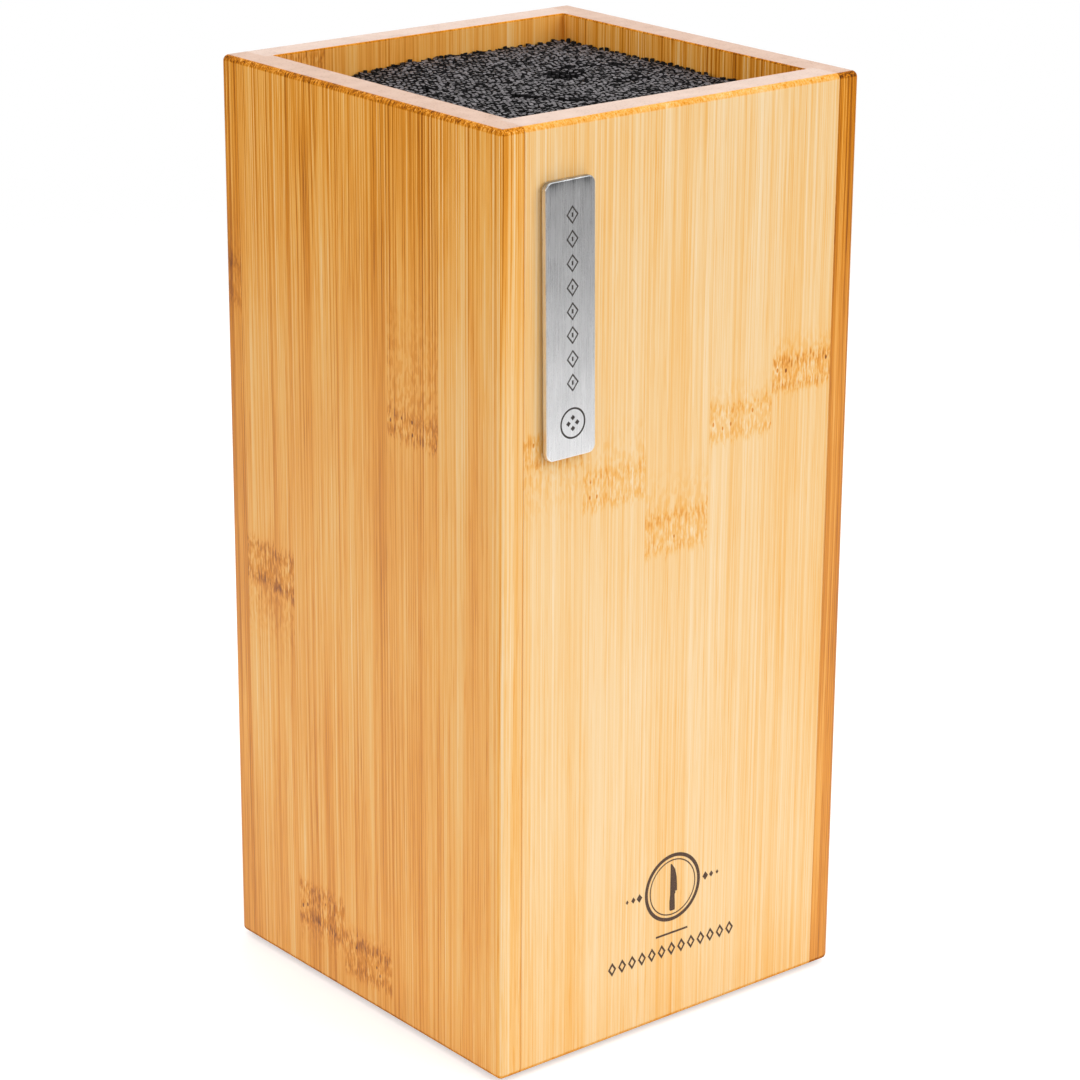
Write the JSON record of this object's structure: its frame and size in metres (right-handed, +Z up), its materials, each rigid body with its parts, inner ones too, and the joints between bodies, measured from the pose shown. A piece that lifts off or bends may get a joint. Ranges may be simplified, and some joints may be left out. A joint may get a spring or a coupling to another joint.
{
  "type": "knife block",
  "caption": "Tall square bamboo knife block with a rabbeted box, a steel badge and a lift-out insert of upright plastic bristles that hold knives of any shape.",
  "frame": {"origin": "middle of the box's square footprint, on the surface that it stands on; the badge stands 2.3 mm proud of the front, so the overall box's centre is 1.15 mm in front of it", "axes": "+Z up, out of the box's mouth and along the bristles; -Y towards the front, the face with the badge; +X to the right as seen from the front"},
  "size_m": [0.105, 0.1073, 0.2255],
  "materials": {
    "side_bamboo": "clear satin lacquer on caramel bamboo, narrow strips on edge",
    "end_bamboo": "clear satin lacquer on honey bamboo, wide flat strips with nodes",
    "base_bamboo": "sanded and oiled bamboo",
    "foot_rubber": "matt",
    "badge_steel": "brushed lengthwise",
    "adhesive_foam": "matt closed-cell foam tape",
    "tray_plastic": "moulded, matt",
    "bristle_plastic": "extruded plastic fibre, cut ends"
  },
  "bodies": {
    "box": {"left_board": "side_bamboo", "right_board": "side_bamboo", "front_board": "end_bamboo", "back_board": "end_bamboo", "base_board": "base_bamboo", "foot_front_left": "foot_rubber", "foot_front_right": "foot_rubber", "foot_back_left": "foot_rubber", "foot_back_right": "foot_rubber", "badge_plate": "badge_steel", "badge_adhesive_pad": "adhesive_foam"},
    "insert": {"insert_tray": "tray_plastic", "bristle_bundle_front_left": "bristle_plastic", "bristle_bundle_front_right": "bristle_plastic", "bristle_bundle_back_left": "bristle_plastic", "bristle_bundle_back_right": "bristle_plastic"}
  },
  "joints": [
    {"name": "insert_lift", "type": "slide", "parent": "box", "child": "insert", "axis": [0, 0, 1], "range_m": [0, 0.22]}
  ]
}
